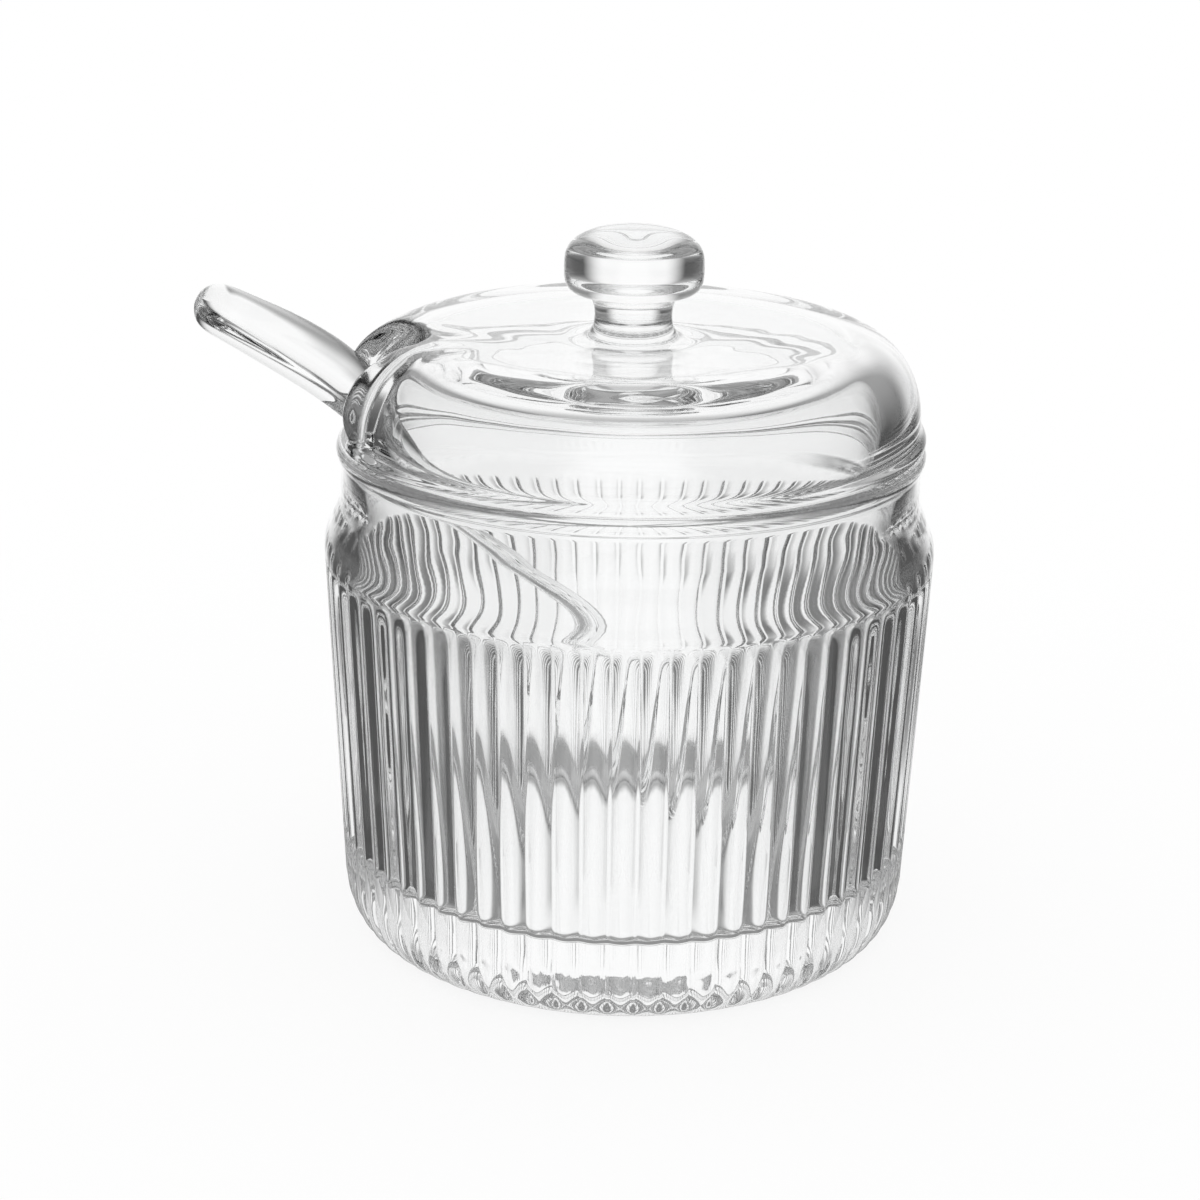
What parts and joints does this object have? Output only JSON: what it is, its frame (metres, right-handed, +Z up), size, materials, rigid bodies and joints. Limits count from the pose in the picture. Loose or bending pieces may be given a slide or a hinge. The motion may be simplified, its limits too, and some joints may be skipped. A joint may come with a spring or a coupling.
{
  "type": "sugar bowl",
  "caption": "Round clear-glass sugar bowl with a ribbed body and smooth shoulder, a domed lid with a knob and a side notch, and a glass spoon leaning out through the notch.",
  "frame": {"origin": "centre of the bowl's flat base, on the surface that it stands on", "axes": "+Z up along the bowl's axis; the lid's notch and the spoon's handle point along -X; the picture looks from -Y"},
  "size_m": [0.113, 0.094, 0.11],
  "materials": {
    "bowl_glass": "fire-polished clear pressed glass",
    "lid_glass": "fire-polished clear pressed glass",
    "spoon_glass": "fire-polished clear pressed glass"
  },
  "bodies": {
    "bowl": {"bowl": "bowl_glass"},
    "lid": {"lid": "lid_glass"},
    "spoon": {"spoon": "spoon_glass"}
  },
  "joints": [
    {"name": "lid_lift", "type": "slide", "parent": "bowl", "child": "lid", "axis": [0, 0, 1], "range_m": [0, 0.05]},
    {"name": "spoon_draw", "type": "slide", "parent": "bowl", "child": "spoon", "axis": [-0.7055, 0, 0.7087], "range_m": [0, 0.025]}
  ]
}
